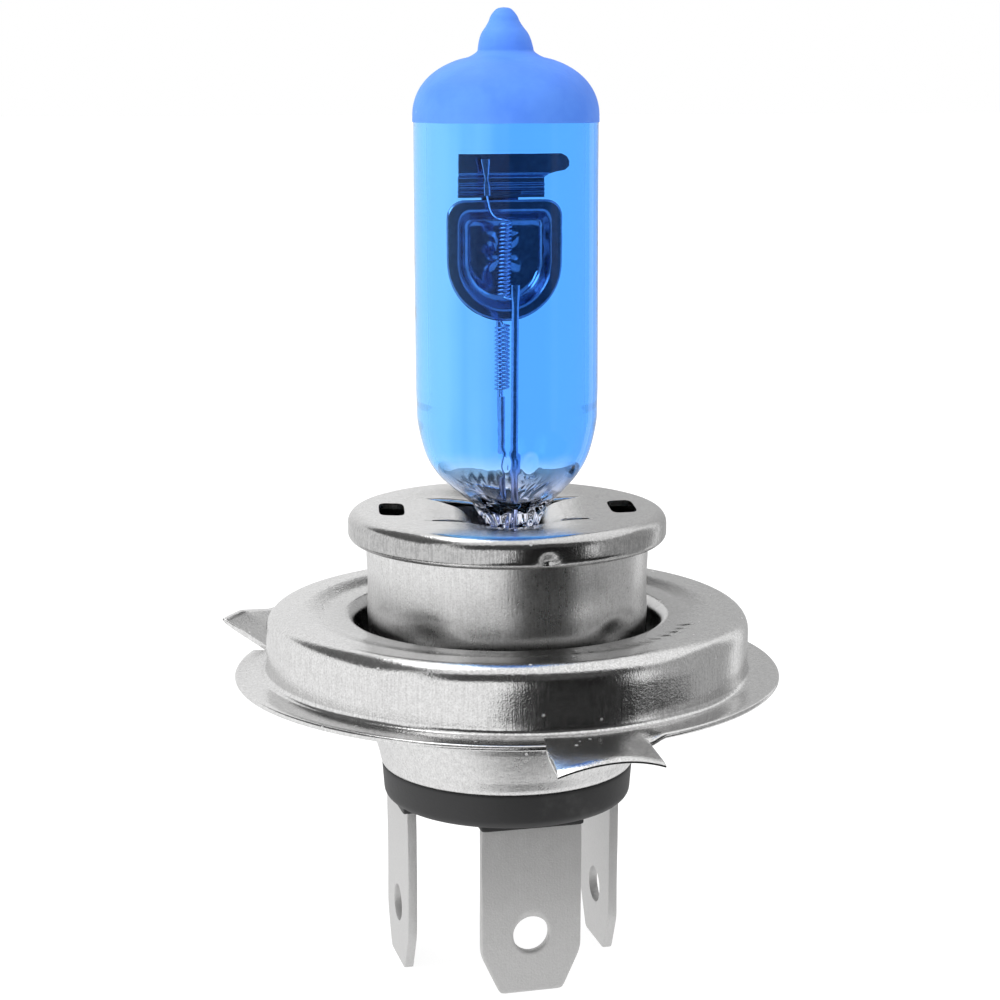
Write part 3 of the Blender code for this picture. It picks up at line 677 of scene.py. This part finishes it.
def addLid(finish):
    high = boxMm("clamp_lid")[1]
    lid = {"top": high[2], "radius": high[0], "sheet": 0.45, "rimBottom": 20.8, "window": (5.9, 4.45),
           "vent": (9.05, 1.0, 2.5), "turn": np.radians(-10.5), "crimps": (-90, 30, 150), "sink": 0.6,
           "deck": (7.2, 10.6), "foldedTo": 11.55}
    top, t = lid["top"] - lid["sheet"] / 2, lid["sheet"]
    wall, bottom = lid["radius"] - t / 2, lid["rimBottom"] + t / 2
    angles = fullTurn(480)
    path = roundedPath([(lid["deck"][0], top), (wall, top), (wall, bottom), (lid["foldedTo"], bottom)],
                       [0.8, 0.45], spacing=0.35)
    grid = turned(sheetSection(path, t), angles)
    # the inner edge follows the window: along each spoke, a rectangle's edge is the nearer of
    # half width / cos and half depth / sin
    half = lid["window"]
    reach = np.minimum(half[0] / np.maximum(np.abs(np.cos(angles - lid["turn"])), 1e-6),
                       half[1] / np.maximum(np.abs(np.sin(angles - lid["turn"])), 1e-6))
    r = np.hypot(grid[..., 0], grid[..., 1])
    inner, outer = lid["deck"][0] - t / 2, lid["deck"][1]
    share = np.clip((outer - r) / (outer - inner), 0, 1) * (grid[..., 2] > lid["top"] - t - 0.01)
    newR = r + share * (reach[None] - inner)
    grid[..., :2] *= (newR / r)[..., None]
    z = grid[..., 2]
    # the deck is very slightly dished, and pressed down towards the pinch between the slits
    across = grid[..., 0] * np.cos(lid["turn"]) + grid[..., 1] * np.sin(lid["turn"])
    along = grid[..., 1] * np.cos(lid["turn"]) - grid[..., 0] * np.sin(lid["turn"])
    pressed = lid["sink"] * bump(across, 3.1) * ease(np.abs(along), 8.6, half[1])
    grid[..., 2] -= (0.08 * ease(newR, 11.0, 7.5) + pressed) * (z > 22)
    # the rim is nicked where it was crimped
    for place in lid["crimps"]:
        apart = wrapTurn(angles - np.radians(place))
        nick = bump(apart * lid["radius"], 0.75) * bump(z - 21.3, 0.6)
        scale = 1 - nick * 0.75 * ease(newR, 11.2, 11.8) / newR
        grid[..., :2] *= scale[..., None]
    grids = [(grid, True, True)]
    # two tongues, bent down towards the pinch
    c, s = np.cos(lid["turn"]), np.sin(lid["turn"])
    for side in (-1, 1):
        bend = smoothThrough([(6.7, top - 0.075), (6.3, top - 0.08), (5.8, top - 0.1), (5.3, top - 0.13),
                              (4.7, top - 0.2), (3.8, top - 0.42), (3.0, top - 1.1), (2.55, top - 2.1),
                              (2.3, top - 2.9)], 60)
        profile = sheetSection(bend, t)
        width = np.linspace(-1, 1, 40)[None]
        drop = np.clip((top - profile[:, 1:]) / 3, 0, 1)
        # each tongue narrows towards its bend, and one corner of the left one is cut back further
        slit = 1.2 + 1.1 * (side < 0) * (width > 0)
        y = width * (4.3 - slit * ease(profile[:, :1], 6.4, 3.4) - 0.5 * drop)
        x = side * (profile[:, :1] + 0 * width)
        tongue = np.stack([c * x - s * y, s * x + c * y, profile[:, 1:] + 0 * width], -1)
        grids.append((capped(tongue.swapaxes(0, 1)).swapaxes(0, 1), True, False))
    piece = addPiece("clampLid", grids, finish, ["clamp_lid"], sharp=45)
    # the vents are cut through the deck
    far, halfWidth, halfLength = lid["vent"]
    for side in (-1, 1):
        block = softBlock((side * far - halfWidth, -halfLength, lid["top"] - 1.2),
                          (side * far + halfWidth, halfLength, lid["top"] + 0.8), 0.45)
        x, y = block[..., 0].copy(), block[..., 1].copy()
        block[..., 0], block[..., 1] = c * x - s * y, s * x + c * y
        cutThrough(piece, block)


def cutThrough(piece, block):
    cutter = addPiece("ventCutter", [(block, False, True)], piece.data.materials[0])
    step = piece.modifiers.new("vent", "BOOLEAN")
    step.operation, step.object, step.solver = "DIFFERENCE", cutter, "EXACT"
    graph = bpy.context.evaluated_depsgraph_get()
    mesh = bpy.data.meshes.new_from_object(piece.evaluated_get(graph))
    piece.modifiers.clear()
    piece.data = mesh
    bpy.data.objects.remove(cutter, do_unlink=True)
    mesh.shade_smooth()
    mesh.set_sharp_from_angle(angle=np.radians(45))


def addShell(finish):
    low, high = boxMm("cap_shell")
    shell = {"radius": 11.1, "sheet": 0.45, "cup": 10.06, "dimples": (-139, -56, 38, 128), "depth": 0.42,
             "dimpleHeight": 14.9}
    t = shell["sheet"]
    middle, cup = shell["radius"] - t / 2, shell["cup"] - t / 2
    path = roundedPath([(high[0] - 0.05, high[2] - t / 2), (middle, 21.4), (middle, 7.0),
                        (middle - 0.16, 6.3), (cup + 0.2, 3.9), (cup, low[2] + 0.02)],
                       [0.7, 1.2, 0.8, 0.6], spacing=0.3)
    grid = turned(sheetSection(path, t), fullTurn(360))
    z = grid[..., 2]
    angle = np.arctan2(grid[..., 1], grid[..., 0])
    # the barrel is drawn in by a hair at mid-height, and a little more below the dimples
    push = 0.12 * bump(z - 17.2, 2.2) + 0.3 * ease(z, 15.6, 12.0) * ease(z, 8, 11)
    for place in shell["dimples"]:
        apart = wrapTurn(angle - np.radians(place))
        push = push + shell["depth"] * bump(apart * middle, 1.9) * bump(z - shell["dimpleHeight"], 1.1)
    scale = 1 - push / np.hypot(grid[..., 0], grid[..., 1])
    grid[..., :2] *= scale[..., None]
    addPiece("capShell", [(grid, True, True)], finish, ["cap_shell"], sharp=50)


def addRing(finish):
    low, high = boxMm("prefocus_ring")
    ring = {"collar": 12.1, "pilot": 19.0, "flange": -low[0], "lug": -low[1], "sheet": 0.45, "top": high[2],
            "plane": 10.1}
    t = ring["sheet"]
    wall = ring["pilot"] - t / 2
    crown = ring["top"] - t / 2
    flat = ring["plane"] + 0.25 - t / 2
    path = roundedPath([(11.65 + t / 2, 8.75), (ring["collar"] + t / 2 - 0.05, crown - 0.4),
                        (14.2, crown - 0.4), (16.2, crown), (wall, crown), (wall, flat),
                        (ring["flange"] - t / 2, flat)], [0.7, 4.0, 3.0, 1.25, 0.75], spacing=0.5)
    # each lug: its place in degrees, and 1 where it is raised and not hanging
    lugs = {"front": (-90, 0.0), "right": (30, 0.0), "left": (137, 1.0)}
    # one lug's shape, in degrees from its place: a straight edge, the sweep to a point and its end, the
    # slit's two sides, and where a hanging or a raised lug is level with the flange again; root is a radius
    lug = {"edge": -7.25, "sweep": (12.6, 13.7), "end": 14, "slit": ((12.9, 13.2), (14.1, 14.5)),
           "hanging": (12.8, 17.5), "raised": (13.3, 14.0), "root": 19.9}
    closer = np.concatenate([np.linspace(-8.4, -5.6, 40), np.linspace(10.8, 14.6, 30)])
    angles = fullTurn(420, [wrapTurn(np.radians(place + closer)) for place, _ in lugs.values()])
    grid = turned(sheetSection(path, t), angles)
    r = np.hypot(grid[..., 0], grid[..., 1])
    nearFlange = grid[..., 2] < ring["plane"] + 1
    onFlange = ease(r, 19.6, ring["flange"]) * nearFlange
    stretch = np.clip((r - lug["root"]) / (ring["flange"] - lug["root"]), 0, 1) * onFlange
    grow, lift = 0 * r, 0 * r
    for place, raised in lugs.values():
        d = wrapTurn(np.degrees(angles) - place, 180)
        # a straight cut on one side, a sweep to a point on the other
        reach = np.clip((d - lug["edge"]) / 0.85, 0, 1) * (d < lug["end"])
        reach = reach * np.where(d < 0, 1, 1 - ease(d, *lug["sweep"]))
        grow = grow + reach[None] * stretch * (ring["lug"] - ring["flange"] - 0.02)
        # a hanging lug curls down towards its ends, and a raised one climbs along its length
        hang = -0.2 - np.where(d < 4, 0.0076, 0.01) * (d - 4) ** 2
        hang = np.where(raised > 0, np.clip(1.95 + 0.081 * (d + 4.3), 1.9, 2.68), hang) - 0.25
        fall = lug["raised" if raised else "hanging"]
        weight = np.clip((d + 7.3) / 0.25, 0, 1) * (1 - ease(d, *fall))
        # the raised lug is cut free of the flange by a slit
        slit = raised * ease(d, *lug["slit"][0]) * (1 - ease(d, *lug["slit"][1]))
        grow = grow - slit[None] * np.maximum(r - 19.8, 0) * nearFlange
        far = np.clip((r + grow - lug["root"]) / 4.5, 0, 1) * nearFlange
        lift = lift + far * (hang * weight)[None]
    grid[..., :2] *= ((r + grow) / r)[..., None]
    grid[..., 2] += lift
    # the pressing is not quite flat: long shallow waves round the crown and flange
    a = angles[None]
    grid[..., 2] += 0.05 * np.sin(2 * a + 0.6) * ease(r, 13, 19) - 0.03 * np.sin(3 * a) * ease(r, 18, 21)
    # stamped ticks: a row of short radial dents in the sloping band inside the crown
    mark = {"count": 72, "middle": -68, "halfSpan": 38, "radius": 14.6, "depth": 0.13}
    band = bump(r - mark["radius"], 0.5) * (grid[..., 2] > ring["plane"] + 2)
    marked = np.abs(wrapTurn(np.degrees(a) - mark["middle"], 180)) < mark["halfSpan"]
    grid[..., 2] -= mark["depth"] * band * ease(np.cos(a * mark["count"]), 0.6, 0.95) * marked
    grid = np.clip(grid, low, high)
    addPiece("prefocusRing", [(grid, True, True)], finish, ["prefocus_ring"], sharp=50)


def addInsulator(finish):
    high = boxMm("terminal_insulator")[1]
    plug = {"neck": 9.3, "shoulder": 2.82, "radius": high[0], "foot": 9.78, "top": high[2] - 0.02,
            "boss": (-0.55, 1.0), "bossFront": (4.1, 0.7, 0), "bossSide": (0.7, 3.0, 0)}
    path = roundedPath([(0, plug["top"]), (plug["neck"], plug["top"]), (plug["neck"], plug["shoulder"]),
                        (plug["radius"], plug["shoulder"]), (plug["foot"], 0.0), (0, 0.0)],
                       [0.3, 0.15, 0.25, 0.75], spacing=0.4)
    grids = [(turned(path, fullTurn(240)), False, True)]
    for node in ("terminal_centre", "terminal_left", "terminal_right"):
        # a low boss stands round each blade's root
        half = np.array(plug["bossFront" if node == "terminal_centre" else "bossSide"])
        middle = sum(boxMm(node)) / 2 * [1, 1, 0]
        middle[1] = min(middle[1], 0.6)
        bottom, top = plug["boss"]
        boss = softBlock(middle - half + [0, 0, bottom], middle + half + [0, 0, top], 0.12)
        grids.append((boss, False, True))
    addPiece("terminalInsulator", grids, finish, ["terminal_insulator"], sharp=45)


def addTerminals(finish):
    blade = {"width": 8.0, "end": 5.0, "chamfer": -10.8, "shoulder": (0.3, -0.05), "hole": (-9.3, 1.45),
             "shank": (2.2, 8.5)}
    for node in ("terminal_centre", "terminal_left", "terminal_right"):
        low, high = boxMm(node)
        middle = (low + high) / 2
        front = node == "terminal_centre"
        shoulder = blade["shoulder"][0 if front else 1]
        thickness = (high - low)[1 if front else 0]
        centre, hole = blade["hole"]
        half, end = blade["width"] / 2, blade["end"] / 2
        slope = unit(np.array([blade["chamfer"] - low[2], -(half - end)]))
        # the outline is where its straight edges come nearest along each spoke from the hole
        edges = [((1, 0), half), ((-1, 0), half), ((0, 1), shoulder - centre), ((0, -1), centre - low[2])]
        gap = slope @ np.array([half, blade["chamfer"] - centre])
        edges += [((slope[0], slope[1]), gap), ((-slope[0], slope[1]), gap)]
        corners = [(half, shoulder), (half, blade["chamfer"]), (end, low[2])]
        corners = np.array([np.arctan2(z - centre, side * x) for x, z in corners for side in (1, -1)])
        angles = fullTurn(120, [corners + k for k in (-0.01, 0, 0.01)])
        spokes = np.stack([np.cos(angles), np.sin(angles)], -1)
        towards = np.stack([spokes @ np.array(n) for n, _ in edges])
        distance = np.array([d for _, d in edges])[:, None]
        far = np.where(towards > 1e-6, distance / np.maximum(towards, 1e-6), 1e9)
        # a soft least value rounds the corners
        bound = (far ** -40.0).sum(axis=0) ** (-1 / 40.0)
        # half a section, from the hole to the outline: share of the way, step past it and depth
        y, soft, blunt = thickness / 2, 0.1, 0.03
        flat = [(share, 0, y) for share in np.linspace(0.08, 0.92, 8)]
        face = [(0, 0, y - soft), (0, blunt, y - blunt), (0, soft, y), *flat,
                (1, -soft, y), (1, -blunt, y - blunt), (1, 0, y - soft)]
        rows = np.array(face + [(share, step, -depth) for share, step, depth in face[::-1]])
        reach = hole + rows[:, :1] * (bound - hole)[None] + rows[:, 1:2]
        x, z = reach * np.cos(angles), centre + reach * np.sin(angles)
        depth = rows[:, 2:] + 0 * x
        # the blade was cropped by hand, so its face is not quite true
        depth = depth + 0.03 * np.sin(z * 0.45 + middle[0])
        across = [x, depth] if front else [depth, x]
        grid = np.stack([*across, z], -1) + middle * [1, 1, 0]
        grid = np.clip(grid, low, high)
        # the shank runs up into the insulator, a hair thinner than the blade
        halfShank, reachUp = blade["shank"]
        size = np.array([halfShank, y - blunt] if front else [y - blunt, halfShank])
        root = (middle[0], min(middle[1], 0.1))
        shank = softBlock((*(root - size), shoulder - 0.5), (*(root + size), reachUp), 0.08)
        name = node.split("_")[1]
        addPiece("terminal" + name.capitalize(), [(grid, True, True), (shank, False, True)], finish, [node],
                 sharp=35)


def finishHidden(metal, lead):
    for node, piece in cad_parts.items():
        kind = lead if node.startswith("lead_") else metal
        if node.startswith(("lead_", "foil_")):
            for k in range(len(piece.material_slots)):
                piece.material_slots[k].material = kind


# an even glow for the cards that light the metal
def emitter(name, strength):
    material = bpy.data.materials.new(name)
    material.use_nodes = True
    nodes = material.node_tree.nodes
    nodes.clear()
    glow = nodes.new("ShaderNodeEmission")
    glow.inputs["Color"].default_value = grey(strength)
    out = nodes.new("ShaderNodeOutputMaterial")
    material.node_tree.links.new(glow.outputs[0], out.inputs[0])
    return material


def stagePlane(name, centre, size, facing, material):
    mesh = bpy.data.meshes.new(name)
    w, h = size[0] / 2 * mm, size[1] / 2 * mm
    mesh.from_pydata([(-w, -h, 0), (w, -h, 0), (w, h, 0), (-w, h, 0)], [], [(0, 1, 2, 3)])
    mesh.materials.append(material)
    plane = bpy.data.objects.new(name, mesh)
    bpy.context.scene.collection.objects.link(plane)
    plane.location = np.array(centre) * mm
    plane.rotation_mode = "QUATERNION"
    direction = Vector(np.array(facing, float) - np.array(centre, float))
    plane.rotation_quaternion = direction.to_track_quat("Z", "Y")
    return plane


def hideFrom(piece, *rays):
    for ray in rays:
        setattr(piece, "visible_" + ray, False)


# azimuth from the camera's own side of the object, turning left; heights and distances in millimetres
def around(azimuth, distance, height):
    a = np.radians(azimuth + 14.5)
    return (-np.sin(a) * distance, -np.cos(a) * distance, height)


def addStage():
    studio = {"floor": cadLow[2] / mm, "world": 1.0, "middle": 20.0}
    white = Finish("floorWhite").shader({
        "Base Color": grey(0.3), "Roughness": 0.9, "Emission Color": grey(1.0), "Emission Strength": 0.86})
    floor = stagePlane("studioFloor", (0, 0, studio["floor"]), (9000, 9000), (0, 0, 1000), white)
    floor.visible_glossy = False
    world = bpy.data.worlds.new("studio")
    world.use_nodes = True
    sky = world.node_tree.nodes["Background"].inputs
    sky["Color"].default_value, sky["Strength"].default_value = grey(1.0), studio["world"]
    bpy.context.scene.world = world
    # cards that show up as reflections: azimuth, distance, height, size, level, and whether they light
    # matt surfaces too
    cards = {"darkFront": (-30, 150, 20, (146, 110), 0.02, True),
             "greyRight": (-95, 150, 20, (170, 200), 0.42, True),
             "backRight": (-158, 170, 40, (120, 200), 0.58, False),
             "room": (-15, 170, 150, (420, 170), 0.07, False),
             "backHigh": (-176, 150, 140, (44, 150), 0.02, False),
             "roomLeft": (95, 170, 190, (300, 170), 0.12, False)}
    for name, (azimuth, distance, height, size, level, shades) in cards.items():
        card = stagePlane(name, around(azimuth, distance, height), size, (0, 0, studio["middle"]),
                          emitter(name, level))
        hideFrom(card, "camera", "transmission", "shadow", "volume_scatter")
        card.visible_diffuse = shades
    # two cards that only rays through the glass can see: a dim room on the camera's side, and a small
    # bright one above it
    dim = stagePlane("dimRoom", around(-8, 140, 45), (330, 110), (0, 0, 48), emitter("dimRoom", 0.17))
    spark = stagePlane("sparkHigh", around(24, 130, 100), (34, 60), (0, 0, 45), emitter("sparkHigh", 8.0))
    for card in (dim, spark):
        hideFrom(card, "camera", "glossy", "shadow", "volume_scatter", "diffuse")
    # a dark sheet under the floor, which the metal alone reflects
    x, y, _ = around(-38, 90, 0)
    under = stagePlane("darkUnder", (x, y, studio["floor"] - 1), (130, 110), (x, y, 100),
                       emitter("darkUnder", 0.03))
    hideFrom(under, "camera", "transmission", "shadow", "volume_scatter", "diffuse")
    # lamps: azimuth, distance, height, size, power, and whether they show up as reflections
    lamps = {"key": (60, 260, 220, 160, 0.30, False),
             "top": (110, 130, 300, 200, 0.17, True),
             "fill": (-60, 300, 160, 160, 0.06, False)}
    for name, (azimuth, distance, height, size, power, glossy) in lamps.items():
        lamp = bpy.data.lights.new(name, "AREA")
        lamp.shape, lamp.size, lamp.energy = "DISK", size * mm, power
        holder = bpy.data.objects.new(name, lamp)
        bpy.context.scene.collection.objects.link(holder)
        holder.location = np.array(around(azimuth, distance, height)) * mm
        holder.rotation_mode = "QUATERNION"
        direction = Vector((0, 0, studio["middle"] * mm)) - holder.location
        holder.rotation_quaternion = direction.to_track_quat("-Z", "Y")
        holder.visible_glossy = glossy
    bpy.context.scene.view_settings.view_transform = "Standard"


def addCamera():
    eye = {"turn": -14.5, "pitch": 10.805, "distance": 168.28, "side": -0.55, "height": 55.87, "lens": 78.65}
    camera = bpy.data.cameras.new("camera")
    camera.lens, camera.sensor_width = eye["lens"], 36
    camera.clip_start, camera.clip_end = 0.005, 20
    holder = bpy.data.objects.new("camera", camera)
    bpy.context.scene.collection.objects.link(holder)
    a = np.radians(-eye["turn"])
    x, y = eye["side"], -eye["distance"]
    across, back = x * np.cos(a) + y * np.sin(a), y * np.cos(a) - x * np.sin(a)
    holder.location = np.array((across, back, eye["height"])) * mm
    holder.rotation_euler = (np.radians(90 - eye["pitch"]), 0, np.radians(eye["turn"]))
    bpy.context.scene.camera = holder


addCamera()
addStage()
print("stage set")
plated = nickel("platedCap")
drawn = nickel("platedShell", roughness=0.24, lines=0.7)
darkSheet = refractory("molybdenumSheet", 0.3, 0.13)
wireMetal = refractory("tungstenWire", 0.5, 0.2, 6000, 0.2)
leadMetal = refractory("nickelWire", 0.5, 0.35, bloom=0.0)
blades = tinned("tinnedBlade")
print("finishes made")
addGlass()
addCoat()
addShield(darkSheet)
addBracket(darkSheet)
addFilaments(wireMetal)
addPosts(refractory("postMetal", 0.5, 0.2))
print("lamp tube done")
addLid(plated)
addShell(drawn)
addRing(nickel("platedRing", lines=0.7, flecks=0.75))
addInsulator(blackResin())
addTerminals(blades)
finishHidden(darkSheet, leadMetal)
print("cap done")
